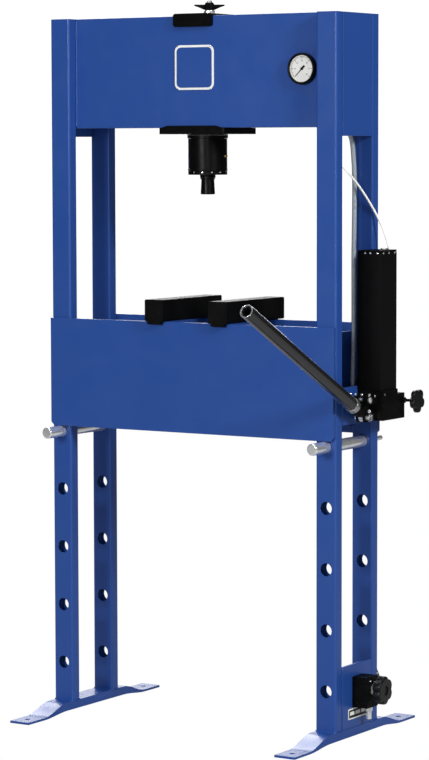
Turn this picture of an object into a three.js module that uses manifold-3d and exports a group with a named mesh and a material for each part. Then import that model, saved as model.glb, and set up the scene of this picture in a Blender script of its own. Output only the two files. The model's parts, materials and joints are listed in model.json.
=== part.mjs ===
// Hydraulic shop press: a two-sided frame of rectangular tube with a hand pump, a cylinder that
// slides along the top beam, and a bed that rests on two pins. Millimetres, +Z up, +X right, -Y front.
// Sizes are measured from the point on the floor under the middle of the frame. The last lines move
// the finished press so that the origin is in the middle of its outline, seen from above.
import * as THREE from 'three';
import { mergeVertices } from 'three/addons/utils/BufferGeometryUtils.js';
import Module from 'manifold-3d';

const wasm = await Module();
wasm.setup();

// ---------------------------------------------------------------- driving dimensions

const fit = 0.3;               // gap left between pieces that rest on each other
const overlap = 1;             // how far one solid runs into another before they are joined

// frame
const frameHeight = 1805;
const frameDepth = 212;
const uprightWidth = 58;
const uprightDepth = 32;
const uprightWall = 3;
const uprightCorner = 5;
const uprightX = 397;          // centre of each upright, left and right of the middle
const holeDiameter = 33;
const holePitch = 152.5;
const firstHoleZ = 131;
const holeCount = 6;
const pinnedHole = 4;          // the bed pins are in this hole, counted from 0 at the floor

// feet
const footLength = 610;
const footWidth = 58;
const footRise = 30;
const footThickness = 6;
const footFlat = 72;           // length of each flat end on the floor
const footRampEnd = 132;       // the raised middle starts this far from the centre
const footArch = 8;            // the side flanges stop this high above the floor in the middle
const anchorHole = 14;

// beam
const beamHeight = 280;
const plateThickness = 10;
const sidePlateThickness = 8;
const beamSideHeight = 302;

// bed
const bedHalfWidth = 424;
const bedHeight = 280;
const bedClearance = 1.5;      // between the bed plates and the uprights
const pinDiameter = 30;
const pinFront = 176;          // the pins stick out this far in front of the middle
const pinShoulder = 108;       // behind this a thin stub is left of each pin
const pinStubEnd = 172;
const pinStubDiameter = 12;
const spacerX = 352;
const spacerDepth = 10;
const bedCorner = 9;

// anvil blocks
const blockWidth = 55;
const blockHeight = 56;
const blockLength = 280;
const blockFront = -131;
const tongueWidth = 40;
const tongueDrop = 7;
const blockLeftX = -93;
const blockRightX = 97;

// cylinder and ram
const ramX = -13;
const barrelRadius = 50;
const neckRadius = 42;
const boreRadius = 28;
const barrelBottom = 1415;
const barrelTop = 1498;
const neckTop = 1605;
const boreTop = 1593;
const glandBottom = 1406;
const glandNose = 1398;
const rodRadius = 15;
const ramBottom = 1356;
const noseTop = 1394;
const pistonHeight = 24;
const collarRadius = 52;
const carriageHalfWidth = 97.5;
const carriageHalfDepth = 78;
const carriageThickness = 16;

// top clamp
const clampX = -7;
const bridgeWidth = 115;
const bridgeHalfDepth = 82;
const bridgeThickness = 6;
const bridgeDrop = 27;
const studRadius = 7;
const studTop = 1846;
const washerHeight = 10;
const wingRadius = 39;
const wingTurn = THREE.MathUtils.degToRad(32);

// gauge
const gaugeX = 314;
const gaugeZ = 1668;
const gaugeRadius = 39;
const dialRadius = 33;
const gaugeDepth = 14;
const dialRecess = 7;
const stemRadius = 6.5;

// pump
const pumpWidth = 71;
const pumpBack = 112;
const pumpBottom = 801;
const pumpTop = 876;
const tankFront = -3;
const tankWidth = 67;
const tankDepth = 80;
const pumpRearTop = 864;       // the casting is lower behind the tank
const tankTop = 1218;
const tankWall = 3;
const lidHeight = 4;
const fulcrumY = -40;
const fulcrumZ = 855;
const leverArm = 44;           // from the fulcrum down to the plunger pin
const socketDrop = 35;         // the handle's line crosses under the fulcrum by this much
const plungerRadius = 7;
const linkPinRadius = 5;
const handleTilt = THREE.MathUtils.degToRad(27.4);
const handleRadius = 17;
const handleWall = 3;
const handleLength = 554;
const handleStart = 58;
const eyeHalf = 6;
const cheekThickness = 6;
const earThickness = 6.5;

// pressure outlet, which passes through the pump's bracket, and the inlet on the cylinder
const outletX = 379;
const outletY = 58;
const outletZ = 850;
const outletRadius = 8;
const outletStub = 16;
const inletZ = 1580;

// release valve and floor valve
const releaseY = 100;
const releaseZ = 846;
const releaseKnobX = 533;
const releaseKnobRadius = 30;
const releaseKnobDepth = 13;
const valveX = 470;            // outer face of the floor valve's body
const valveFront = -25;
const valveBack = 35;
const valveBottom = 82;
const valveTop = 160;
const valveKnobX = 484;
const valveKnobY = 5;
const valveKnobZ = 127;
const valveKnobRadius = 35.5;
const valveKnobDepth = 22;

// hoses
const pressureHoseRadius = 6.5;
const gaugeLineRadius = 3.2;
const returnHoseRadius = 6;

// worked out from the above
const frontY = -frameDepth / 2;
const tubeBackY = frontY + uprightDepth;
const outerX = uprightX + uprightWidth / 2;
const pinZ = firstHoleZ + pinnedHole * holePitch - (holeDiameter - pinDiameter) / 2 + fit;
const bedBottom = pinZ + pinDiameter / 2 + fit;
const bedTop = bedBottom + bedHeight;
const bedInnerY = frameDepth / 2 + bedClearance;
const bedOuterY = bedInnerY + plateThickness;
const beamBottom = frameHeight - beamHeight;
const beamOuterY = -tubeBackY - fit;
const beamInnerY = beamOuterY - plateThickness;
const carriageTop = beamBottom - fit;
const carriageBottom = carriageTop - carriageThickness;
const pistonTop = boreTop - 2;
const pistonBottom = pistonTop - pistonHeight;
const bridgeBottom = frameHeight + fit;
const bridgeTop = bridgeBottom + bridgeThickness;
const washerTop = bridgeTop + fit + washerHeight;
const plungerZ = fulcrumZ - leverArm;
const pumpLeft = outerX + fit;
const pumpRight = pumpLeft + pumpWidth;
const pumpX = (pumpLeft + pumpRight) / 2;

// ---------------------------------------------------------------- materials

const blue = { color: 0x2a4d8f, roughness: 0.35, metalness: 0.1 };
const black = { color: 0x111112, roughness: 0.45, metalness: 0.2 };
const castBlack = { color: 0x0d0d0e, roughness: 0.6, metalness: 0.2 };
const moulded = { color: 0x0a0a0b, roughness: 0.5, metalness: 0 };
const zinc = { color: 0xc9ccd0, roughness: 0.28, metalness: 1 };
const steel = { color: 0x9a9c9e, roughness: 0.35, metalness: 1 };
const brass = { color: 0xb08d4a, roughness: 0.35, metalness: 1 };
const rubber = { color: 0x0b0c0d, roughness: 0.4, metalness: 0 };
const braid = { color: 0x78828a, roughness: 0.5, metalness: 0.1 };
const nylon = { color: 0xdedcd2, roughness: 0.4, metalness: 0 };
const enamel = { color: 0xf2f2ee, roughness: 0.5, metalness: 0 };
const glass = { color: 0xdfe8ea, roughness: 0.05, metalness: 0 };

const press = new THREE.Group();

function piece(name, geometry, look) {
  const mesh = new THREE.Mesh(geometry, new THREE.MeshStandardMaterial(look));
  mesh.name = name;
  press.add(mesh);
  return mesh;
}

// ---------------------------------------------------------------- solids

function toManifold(geometry) {
  const bare = geometry.clone();
  bare.deleteAttribute('normal');
  bare.deleteAttribute('uv');
  const merged = mergeVertices(bare, 1e-4);
  const mesh = new wasm.Mesh({
    numProp: 3,
    vertProperties: new Float32Array(merged.attributes.position.array),
    triVerts: new Uint32Array(merged.index.array),
  });
  return new wasm.Manifold(mesh);
}

function toGeometry(manifold) {
  const mesh = manifold.getMesh();
  const corners = new Float32Array(mesh.vertProperties);
  const faces = new Uint32Array(mesh.triVerts);
  const geometry = new THREE.BufferGeometry();
  geometry.setAttribute('position', new THREE.BufferAttribute(corners, 3));
  geometry.setIndex(new THREE.BufferAttribute(faces, 1));
  geometry.computeVertexNormals();
  return geometry;
}

function join(first, ...others) {
  let solid = toManifold(first);
  for (const other of others) solid = solid.add(toManifold(other));
  return toGeometry(solid);
}

function cut(body, ...tools) {
  let solid = toManifold(body);
  for (const tool of tools) solid = solid.subtract(toManifold(tool));
  return toGeometry(solid);
}

function block(x, y, z) {
  const geometry = new THREE.BoxGeometry(x[1] - x[0], y[1] - y[0], z[1] - z[0]);
  return geometry.translate((x[0] + x[1]) / 2, (y[0] + y[1]) / 2, (z[0] + z[1]) / 2);
}

// A round bar from one end to the other along the named axis, centred on the two other coordinates.
function bar(axis, radius, ends, a, b, sides = 32) {
  const geometry = new THREE.CylinderGeometry(radius, radius, ends[1] - ends[0], sides);
  const middle = (ends[0] + ends[1]) / 2;
  if (axis === 'x') return geometry.rotateZ(-Math.PI / 2).translate(middle, a, b);
  if (axis === 'y') return geometry.translate(a, middle, b);
  return geometry.rotateX(Math.PI / 2).translate(a, b, middle);
}

// Turns a profile of [radius, height] points about the vertical line through x, y.
function turned(profile, x, y, sides = 48) {
  const points = profile.map(([r, z]) => new THREE.Vector2(r, z));
  return new THREE.LatheGeometry(points, sides).rotateX(Math.PI / 2).translate(x, y, 0);
}

// The same about a line along +Y; heights in the profile are then y positions.
function turnedAlongY(profile, x, z, sides = 40) {
  const points = profile.map(([r, y]) => new THREE.Vector2(r, y));
  return new THREE.LatheGeometry(points, sides).translate(x, 0, z);
}

function roundedRectangle(width, height, radius) {
  const shape = new THREE.Shape();
  const w = width / 2;
  const h = height / 2;
  shape.moveTo(-w + radius, -h);
  shape.lineTo(w - radius, -h);
  shape.absarc(w - radius, -h + radius, radius, -Math.PI / 2, 0);
  shape.lineTo(w, h - radius);
  shape.absarc(w - radius, h - radius, radius, 0, Math.PI / 2);
  shape.lineTo(-w + radius, h);
  shape.absarc(-w + radius, h - radius, radius, Math.PI / 2, Math.PI);
  shape.lineTo(-w, -h + radius);
  shape.absarc(-w + radius, -h + radius, radius, Math.PI, Math.PI * 1.5);
  return shape;
}

function polygon(points) {
  return new THREE.Shape(points.map(([a, b]) => new THREE.Vector2(a, b)));
}

function extrude(shape, depth, curveSegments = 4) {
  return new THREE.ExtrudeGeometry(shape, { depth, bevelEnabled: false, curveSegments });
}

// A shape drawn in Y and Z, given thickness along X from x[0] to x[1].
function acrossX(shape, x, curveSegments) {
  const turn = new THREE.Matrix4().makeBasis(
    new THREE.Vector3(0, 1, 0),
    new THREE.Vector3(0, 0, 1),
    new THREE.Vector3(1, 0, 0),
  );
  return extrude(shape, x[1] - x[0], curveSegments).applyMatrix4(turn).translate(x[0], 0, 0);
}

// A shape drawn in X and Z, given thickness along Y from y[0] to y[1].
function acrossY(shape, y, curveSegments) {
  return extrude(shape, y[1] - y[0], curveSegments).rotateX(Math.PI / 2).translate(0, y[1], 0);
}

// A flexible line of the given radius through a list of points.
function hose(points, radius, steps, sides) {
  const corners = points.map(([x, y, z]) => new THREE.Vector3(x, y, z));
  const path = new THREE.CatmullRomCurve3(corners, false, 'centripetal');
  const ring = new THREE.Shape().absarc(0, 0, radius, 0, Math.PI * 2);
  const settings = { steps, extrudePath: path, curveSegments: sides, bevelEnabled: false };
  return new THREE.ExtrudeGeometry(ring, settings);
}

// A hand knob with rounded lobes, drawn in two coordinates about its own centre.
function lobedOutline(radius, lobes, depth) {
  const shape = new THREE.Shape();
  const stepsPerLobe = 8;
  const count = lobes * stepsPerLobe;
  for (let i = 0; i < count; i += 1) {
    const angle = (i / count) * Math.PI * 2;
    const r = radius - depth * (0.5 - 0.5 * Math.cos(angle * lobes)) ** 2;
    if (i === 0) shape.moveTo(r, 0);
    else shape.lineTo(r * Math.cos(angle), r * Math.sin(angle));
  }
  return shape;
}

// ---------------------------------------------------------------- frame

// Closed at the top, open on the foot, with a row of cross holes for the bed pins.
function upright(name, side, end) {
  const bottom = footRise + fit;
  const height = frameHeight - bottom;
  const outline = roundedRectangle(uprightWidth, uprightDepth, uprightCorner);
  const inline = roundedRectangle(
    uprightWidth - 2 * uprightWall,
    uprightDepth - 2 * uprightWall,
    uprightCorner - uprightWall,
  );
  const outside = extrude(outline, height);
  const hollow = extrude(inline, height - uprightWall + overlap);
  outside.translate(0, 0, bottom);
  hollow.translate(0, 0, bottom - overlap);
  const holes = [];
  for (let i = 0; i < holeCount; i += 1) {
    const z = firstHoleZ + i * holePitch;
    holes.push(bar('y', holeDiameter / 2, [-uprightDepth, uprightDepth], 0, z, 20));
  }
  const tube = cut(outside, hollow, ...holes);
  tube.translate(side * uprightX, end * (frameDepth - uprightDepth) / 2, 0);
  piece(name, tube, blue);
}

// Height of the foot's top, which rises in a smooth ramp from its flat ends to the raised middle.
function footTop(y) {
  const flatFrom = footLength / 2 - footFlat;
  const t = THREE.MathUtils.clamp((flatFrom - Math.abs(y)) / (flatFrom - footRampEnd), 0, 1);
  return footThickness + (footRise - footThickness) * t * t * (3 - 2 * t);
}

function footBottom(y) {
  const flatFrom = footLength / 2 - footFlat;
  const t = THREE.MathUtils.clamp((flatFrom - Math.abs(y)) / (flatFrom - footRampEnd), 0, 1);
  return footArch * t * t * (3 - 2 * t);
}

function footStations(halfLength) {
  const flatFrom = footLength / 2 - footFlat;
  const rampSteps = 8;
  const stations = [halfLength];
  for (let i = 0; i <= rampSteps; i += 1) {
    const y = flatFrom + (footRampEnd - flatFrom) * (i / rampSteps);
    if (y < halfLength) stations.push(y);
  }
  return [...stations, ...stations.slice().reverse().map((y) => -y)];
}

// A pressed plate: flat ends on the floor, side flanges under the raised middle.
function foot(name, side) {
  const half = footLength / 2;
  const stations = footStations(half);
  const top = stations.map((y) => [y, footTop(y)]);
  const bottom = stations.slice().reverse().map((y) => [y, footBottom(y)]);
  const solid = acrossX(polygon([...top, ...bottom]), [-footWidth / 2, footWidth / 2]);
  const hollowHalf = footLength / 2 - footFlat - overlap;
  const hollowStations = footStations(hollowHalf);
  const roof = hollowStations.map((y) => [y, footTop(y) - footThickness + fit]);
  const low = -footThickness;
  const hollowProfile = polygon([...roof, [-hollowHalf, low], [hollowHalf, low]]);
  const inner = footWidth / 2 - footThickness;
  const hollow = acrossX(hollowProfile, [-inner, inner]);
  const anchors = [-1, 1].map((end) => (
    bar('z', anchorHole / 2, [-footThickness, 2 * footThickness], 0, end * (half - footFlat / 2), 20)
  ));
  const pressed = cut(solid, hollow, ...anchors);
  pressed.translate(side * uprightX, 0, 0);
  piece(name, pressed, blue);
}

function plateWithHole(x, z, y, hole) {
  const shape = polygon([[x[0], z[0]], [x[1], z[0]], [x[1], z[1]], [x[0], z[1]]]);
  if (hole) shape.holes.push(new THREE.Path().absarc(hole.x, hole.z, hole.radius, 0, Math.PI * 2));
  return acrossY(shape, y, 12);
}

function beam() {
  const x = outerX - sidePlateThickness - fit;
  const z = [beamBottom, frameHeight];
  const gaugeHole = { x: gaugeX, z: gaugeZ, radius: stemRadius + fit };
  piece('beam_front_plate', plateWithHole([-x, x], z, [-beamOuterY, -beamInnerY], gaugeHole), blue);
  piece('beam_rear_plate', plateWithHole([-x, x], z, [beamInnerY, beamOuterY]), blue);
  const sideZ = [frameHeight - beamSideHeight, frameHeight];
  const inner = outerX - sidePlateThickness;
  piece('beam_left_side_plate', block([-outerX, -inner], [-beamOuterY, beamOuterY], sideZ), blue);
  piece('beam_right_side_plate', block([inner, outerX], [-beamOuterY, beamOuterY], sideZ), blue);
}

function lowerPlates() {
  const lowerTop = 190;
  const bracketRise = 9;
  const inner = outerX - sidePlateThickness;
  const y = [-beamOuterY, beamOuterY];
  piece('lower_side_plate', block([inner, outerX], y, [footRise + fit, lowerTop]), blue);
  const z = [pumpBottom - bracketRise, pumpTop + bracketRise];
  const bracket = block([inner, outerX], y, z);
  const through = [inner - overlap, outerX + overlap];
  const outlet = bar('x', outletRadius + fit, through, outletY, outletZ, 24);
  piece('pump_bracket', cut(bracket, outlet), blue);
}

// Plain plates where the maker's and rating plates would be: no mark and no lettering.
function namePlates() {
  const badgeX = -5;
  const badgeZ = 1676;
  const badgeY = [-beamOuterY - fit - 1.5, -beamOuterY - fit];
  const badge = acrossY(roundedRectangle(116, 112, 16), badgeY, 6);
  badge.translate(badgeX, 0, badgeZ);
  piece('badge_plate', badge, enamel);
  const rating = acrossX(roundedRectangle(92, 27, 3), [outerX + fit, outerX + fit + 1], 4);
  rating.translate(0, 0, 66);
  piece('rating_plate', rating, enamel);
}

// ---------------------------------------------------------------- gauge

function gauge() {
  const back = -beamOuterY - fit;
  const front = back - gaugeDepth;
  const floor = front + dialRecess;
  const rim = 1.5;
  const recess = dialRadius + fit;
  const cup = turnedAlongY([
    [0, back],
    [gaugeRadius - rim, back],
    [gaugeRadius, back - rim],
    [gaugeRadius, front + 2 * rim],
    [gaugeRadius - rim, front],
    [recess + rim, front],
    [recess, front + rim],
    [recess, floor],
    [0, floor],
  ].reverse(), gaugeX, gaugeZ);
  piece('gauge_case', cup, black);

  const spindle = 1.5;
  const dialBack = floor - fit;
  const dialFront = dialBack - 1;
  const dial = turnedAlongY([
    [spindle + fit, dialFront],
    [dialRadius, dialFront],
    [dialRadius, dialBack],
    [spindle + fit, dialBack],
    [spindle + fit, dialFront],
  ], gaugeX, gaugeZ);
  piece('gauge_dial', dial, enamel);

  const lensFront = front + rim;
  const lens = turnedAlongY([
    [0, lensFront],
    [dialRadius, lensFront],
    [dialRadius, lensFront + 1.4],
    [0, lensFront + 1.4],
  ], gaugeX, gaugeZ);
  piece('gauge_lens', lens, glass);

  const stem = bar('y', stemRadius, [back + overlap, -beamInnerY + 18], gaugeX, gaugeZ, 24);
  const nut = bar('y', 12, [-beamInnerY + fit, -beamInnerY + 9], gaugeX, gaugeZ, 6);
  piece('gauge_stem', join(stem, nut), brass);

  gaugeNeedle(dialFront - fit, spindle);
}

// The needle rests at the lower left, where the dial's scale starts.
function gaugeNeedle(back, spindle) {
  const front = back - 1.2;
  const pointerLength = 25;
  const tailLength = 10;
  const outline = polygon([
    [-tailLength, -2.4],
    [-tailLength + 4, -2.4],
    [0, -1.1],
    [pointerLength, -0.5],
    [pointerLength, 0.5],
    [0, 1.1],
    [-tailLength + 4, 2.4],
    [-tailLength, 2.4],
  ]);
  const pointer = acrossY(outline, [front, back]);
  const hub = bar('y', 3.5, [front - 0.8, back], 0, 0, 20);
  const shaft = bar('y', spindle, [back - overlap, back + 1.2], 0, 0, 12);
  const needle = join(pointer, hub, shaft);
  needle.rotateY(-THREE.MathUtils.degToRad(225));
  needle.translate(gaugeX, 0, gaugeZ);
  piece('gauge_needle', needle, black);
}

// ---------------------------------------------------------------- cylinder, ram and carriage

function carriage() {
  const outline = roundedRectangle(2 * carriageHalfWidth, 2 * carriageHalfDepth, 4);
  const plate = extrude(outline, carriageThickness);
  plate.translate(0, 0, carriageBottom);
  const lipY = beamOuterY + fit;
  const lips = [carriageLip([-carriageHalfDepth, -lipY]), carriageLip([lipY, carriageHalfDepth])];
  const span = [carriageBottom - overlap, carriageTop + overlap];
  const hole = bar('z', neckRadius + fit, span, 0, 0, 48);
  piece('carriage_plate', cut(join(plate, ...lips), hole).translate(ramX, 0, 0), black);

  const barrel = turned([
    [0, boreTop],
    [boreRadius, boreTop],
    [boreRadius, barrelBottom],
    [barrelRadius, barrelBottom],
    [barrelRadius, barrelTop],
    [neckRadius, barrelTop],
    [neckRadius, neckTop],
    [0, neckTop],
  ], ramX, 0);
  piece('cylinder_barrel', barrel, black);

  const collar = turned([
    [neckRadius + fit, barrelTop + fit],
    [collarRadius, barrelTop + fit],
    [collarRadius, carriageBottom - fit],
    [neckRadius + fit, carriageBottom - fit],
    [neckRadius + fit, barrelTop + fit],
  ], ramX, 0);
  piece('cylinder_collar', collar, black);

  const nutHeight = 18;
  const nut = turned([
    [neckRadius + fit, carriageTop + fit],
    [neckRadius + 12, carriageTop + fit],
    [neckRadius + 12, carriageTop + fit + nutHeight],
    [neckRadius + fit, carriageTop + fit + nutHeight],
    [neckRadius + fit, carriageTop + fit],
  ], ramX, 0, 32);
  piece('cylinder_lock_nut', nut, steel);

  piece('gland_nut', glandNut(), black);

  const bleedZ = 1453;
  const bleed = join(
    bar('x', 4, [barrelRadius + fit, barrelRadius + 6], 0, 0, 6),
    bar('x', 2, [barrelRadius + 5, barrelRadius + 9], 0, 0, 12),
  );
  bleed.translate(ramX, 0, bleedZ);
  piece('bleed_screw', bleed, brass);

  const inlet = join(
    bar('x', 10, [neckRadius + fit, neckRadius + 14], 0, 0, 6),
    bar('x', 8, [neckRadius + 13, neckRadius + 24], 0, 0, 20),
  );
  inlet.translate(ramX, 0, inletZ);
  piece('cylinder_inlet', inlet, steel);
}

// A low rib along the carriage's edge, which runs against the outer face of a beam plate.
function carriageLip(y) {
  const rise = 5.5;
  const low = carriageTop - overlap;
  const top = carriageTop + rise;
  const foot = carriageHalfWidth - 4;
  const crest = foot - 20;
  return acrossY(polygon([[-foot, low], [foot, low], [crest, top], [-crest, top]]), y);
}

// A flanged nut that closes the bottom of the barrel and guides the rod. Its edge has spanner slots.
function glandNut() {
  const seatTop = barrelBottom + 12;
  const bore = rodRadius + fit;
  const guideRadius = rodRadius + 5;
  const body = turned([
    [bore, glandNose],
    [guideRadius, glandNose],
    [guideRadius, glandBottom],
    [barrelRadius, glandBottom],
    [barrelRadius, barrelBottom - fit],
    [boreRadius - fit, barrelBottom - fit],
    [boreRadius - fit, seatTop],
    [bore, seatTop],
    [bore, glandNose],
  ], ramX, 0);
  const slots = [];
  const slotCount = 12;
  const slotDepth = 5;
  const slotHalfWidth = 6;
  const slotZ = [glandBottom + 4, barrelBottom];
  for (let i = 0; i < slotCount; i += 1) {
    const reach = [barrelRadius - slotDepth, barrelRadius + overlap];
    const slot = block(reach, [-slotHalfWidth, slotHalfWidth], slotZ);
    slot.rotateZ(((i + 0.5) / slotCount) * Math.PI * 2);
    slot.translate(ramX, 0, 0);
    slots.push(slot);
  }
  return cut(body, ...slots);
}

function ram() {
  const grooveBottom = pistonBottom + 8;
  const grooveTop = grooveBottom + 7;
  const grooveRadius = boreRadius - 4.5;
  const pistonRadius = boreRadius - fit;
  const spigot = 9;
  const spigotDepth = 15;
  const piston = turned([
    [0, pistonBottom + spigotDepth],
    [spigot + fit, pistonBottom + spigotDepth],
    [spigot + fit, pistonBottom],
    [pistonRadius, pistonBottom],
    [pistonRadius, grooveBottom],
    [grooveRadius, grooveBottom],
    [grooveRadius, grooveTop],
    [pistonRadius, grooveTop],
    [pistonRadius, pistonTop],
    [0, pistonTop],
  ], ramX, 0, 28);
  piece('piston', piston, steel);

  const sealInner = grooveRadius + fit;
  const sealOuter = boreRadius - fit / 2;
  const seal = turned([
    [sealInner, grooveBottom + fit],
    [sealOuter, grooveBottom + fit],
    [sealOuter, grooveTop - fit],
    [sealInner, grooveTop - fit],
    [sealInner, grooveBottom + fit],
  ], ramX, 0, 28);
  piece('piston_seal', seal, rubber);

  const tip = 10;
  const tipDepth = 18;
  const rod = turned([
    [0, noseTop - tipDepth],
    [tip, noseTop - tipDepth],
    [tip, noseTop],
    [rodRadius, noseTop],
    [rodRadius, pistonBottom - fit],
    [spigot, pistonBottom - fit],
    [spigot, pistonBottom + spigotDepth - fit],
    [0, pistonBottom + spigotDepth - fit],
  ], ramX, 0, 32);
  piece('piston_rod', rod, zinc);

  const noseRadius = 18.5;
  const noseEdge = 1.5;
  const nose = turned([
    [0, ramBottom],
    [noseRadius - noseEdge, ramBottom],
    [noseRadius, ramBottom + noseEdge],
    [rodRadius + 1.5, noseTop - fit],
    [tip + fit, noseTop - fit],
    [tip + fit, noseTop - tipDepth - fit],
    [0, noseTop - tipDepth - fit],
  ], ramX, 0, 32);
  piece('ram_nose', nose, black);
}

// ---------------------------------------------------------------- top clamp

function clamp() {
  const lip = beamOuterY + fit;
  const top = bridgeTop;
  const low = frameHeight - bridgeDrop;
  const profile = polygon([
    [-bridgeHalfDepth, low],
    [-lip, low],
    [-lip, bridgeBottom],
    [lip, bridgeBottom],
    [lip, low],
    [bridgeHalfDepth, low],
    [bridgeHalfDepth, top],
    [-bridgeHalfDepth, top],
  ]);
  const bridge = acrossX(profile, [clampX - bridgeWidth / 2, clampX + bridgeWidth / 2]);
  const trimY = [-bridgeHalfDepth - overlap, bridgeHalfDepth + overlap];
  const trim = acrossY(roundedRectangle(bridgeWidth, top - low, 7), trimY);
  trim.translate(clampX, 0, (top + low) / 2);
  const studSpan = [bridgeBottom - overlap, top + overlap];
  const studHole = bar('z', studRadius + fit, studSpan, clampX, 0, 24);
  const rounded = toGeometry(toManifold(bridge).intersect(toManifold(trim)));
  piece('clamp_bridge', cut(rounded, studHole), black);

  const stud = turned([
    [0, neckTop + fit],
    [studRadius, neckTop + fit],
    [studRadius, studTop - 3],
    [studRadius - 2, studTop],
    [0, studTop],
  ], clampX, 0, 20);
  piece('clamp_stud', stud, steel);

  const washer = turned([
    [studRadius + fit, bridgeTop + fit],
    [14, bridgeTop + fit],
    [14, washerTop - 1],
    [13, washerTop],
    [studRadius + fit, washerTop],
    [studRadius + fit, bridgeTop + fit],
  ], clampX, 0, 32);
  piece('clamp_washer', washer, zinc);
  piece('clamp_knob', wingKnob(), castBlack);
}

// A cast hub with four upturned wings.
function wingKnob() {
  const bottom = washerTop + fit;
  const hubRadius = 14;
  const hubHeight = 19;
  const hub = turned([
    [0, bottom],
    [hubRadius - 2, bottom],
    [hubRadius, bottom + 4],
    [hubRadius, bottom + 10],
    [hubRadius - 4, bottom + hubHeight],
    [0, bottom + hubHeight],
  ], 0, 0, 32);
  const wings = [];
  for (let i = 0; i < 4; i += 1) {
    const outline = polygon([
      [0, bottom + 1],
      [hubRadius, bottom + 1],
      [wingRadius - 12, bottom + 7],
      [wingRadius, bottom + 11],
      [wingRadius - 1, bottom + 14],
      [hubRadius + 2, bottom + 14],
      [0, bottom + 14],
    ]);
    wings.push(acrossY(outline, [-4, 4]).rotateZ(wingTurn + (i * Math.PI) / 2));
  }
  const solid = join(hub, ...wings);
  const thread = bar('z', studRadius + fit, [bottom - overlap, bottom + hubHeight + overlap], 0, 0, 20);
  return cut(solid, thread).translate(clampX, 0, 0);
}

// ---------------------------------------------------------------- bed

function bed() {
  const notch = polygon([
    [-bedHalfWidth + bedCorner, bedBottom],
    [bedHalfWidth - bedCorner, bedBottom],
    [bedHalfWidth, bedBottom + bedCorner],
    [bedHalfWidth, bedTop],
    [-bedHalfWidth, bedTop],
    [-bedHalfWidth, bedBottom + bedCorner],
  ]);
  piece('bed_front_plate', acrossY(notch, [-bedOuterY, -bedInnerY]), blue);
  piece('bed_rear_plate', acrossY(notch, [bedInnerY, bedOuterY]), blue);
  const spacerY = [-bedInnerY + fit, bedInnerY - fit];
  const margin = 20;
  const spacerZ = [bedBottom + margin, bedTop - margin];
  piece('bed_left_spacer', block([-spacerX - spacerDepth, -spacerX], spacerY, spacerZ), blue);
  piece('bed_right_spacer', block([spacerX, spacerX + spacerDepth], spacerY, spacerZ), blue);
}

// A loose bar that lies across both bed plates, with a tongue at each end that stops it sliding off.
function anvilBlock(name, x) {
  const bottom = bedTop + fit;
  const top = bottom + blockHeight;
  const back = blockFront + blockLength;
  const body = acrossY(roundedRectangle(blockWidth, blockHeight, 4), [blockFront, back], 3);
  body.translate(x, 0, (bottom + top) / 2);
  const tongueX = [x - tongueWidth / 2, x + tongueWidth / 2];
  const tongueZ = [bottom - tongueDrop, bottom + overlap];
  const front = block(tongueX, [blockFront, -bedOuterY - fit], tongueZ);
  const rear = block(tongueX, [bedOuterY + fit, -blockFront], tongueZ);
  piece(name, join(body, front, rear), castBlack);
}

function bedPin(name, side) {
  const chamfer = 3;
  const radius = pinDiameter / 2;
  const stub = pinStubDiameter / 2;
  const stubChamfer = 1;
  const pin = turnedAlongY([
    [0, -pinFront],
    [radius - chamfer, -pinFront],
    [radius, -pinFront + chamfer],
    [radius, pinShoulder - chamfer],
    [radius - chamfer, pinShoulder],
    [stub, pinShoulder],
    [stub, pinStubEnd - stubChamfer],
    [stub - stubChamfer, pinStubEnd],
    [0, pinStubEnd],
  ], side * uprightX, pinZ, 32);
  piece(name, pin, zinc);
}

// ---------------------------------------------------------------- hand pump

// A point in Y and Z on the handle's line, at a distance from the point under the fulcrum.
function socketPoint(along) {
  const y = fulcrumY - along * Math.cos(handleTilt);
  const z = fulcrumZ - socketDrop + along * Math.sin(handleTilt);
  return [y, z];
}

// A flat link with round ends, between two points in Y and Z.
function link(x, from, to, radius) {
  const angle = Math.atan2(to[1] - from[1], to[0] - from[0]);
  const shape = new THREE.Shape();
  shape.absarc(to[0], to[1], radius, angle - Math.PI / 2, angle + Math.PI / 2);
  shape.absarc(from[0], from[1], radius, angle + Math.PI / 2, angle + Math.PI * 1.5);
  return acrossX(shape, x, 8);
}

function pumpBody() {
  const eyeRadius = 12;
  const earX = eyeHalf + cheekThickness + 3 * fit;
  const pivot = [fulcrumY, fulcrumZ];
  const root = [overlap + eyeRadius, fulcrumZ];
  const ears = [-1, 1].map((side) => {
    const near = pumpX + side * earX;
    const far = pumpX + side * (earX + earThickness);
    return link([Math.min(near, far), Math.max(near, far)], pivot, root, eyeRadius);
  });
  const x = [pumpLeft, pumpRight];
  const casting = block(x, [0, pumpBack], [pumpBottom, pumpRearTop]);
  const pad = block(x, [0, tankFront + tankDepth], [pumpRearTop - overlap, pumpTop]);
  const solid = join(casting, pad, ...ears);
  const pivotHole = bar('x', linkPinRadius + fit, x, fulcrumY, fulcrumZ, 20);
  const plungerBore = bar('y', plungerRadius + fit, [-overlap, 64], pumpX, plungerZ, 24);
  piece('pump_block', cut(solid, pivotHole, plungerBore), castBlack);

  const pinHalf = 21;
  const headEnd = pumpX + pinHalf + 3;
  const shank = [pumpX - pinHalf, pumpX + pinHalf];
  const head = [pumpX + pinHalf - overlap, headEnd];
  const pin = join(
    bar('x', linkPinRadius, shank, fulcrumY, fulcrumZ, 20),
    bar('x', linkPinRadius + 2.5, head, fulcrumY, fulcrumZ, 20),
  );
  piece('fulcrum_pin', pin, zinc);

  const glandDepth = 9;
  const gland = bar('y', 13, [-glandDepth - fit, -fit], pumpX, plungerZ, 6);
  const through = [-2 * glandDepth, overlap];
  const glandBore = bar('y', plungerRadius + fit, through, pumpX, plungerZ, 24);
  piece('plunger_gland', cut(gland, glandBore), steel);
}

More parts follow.
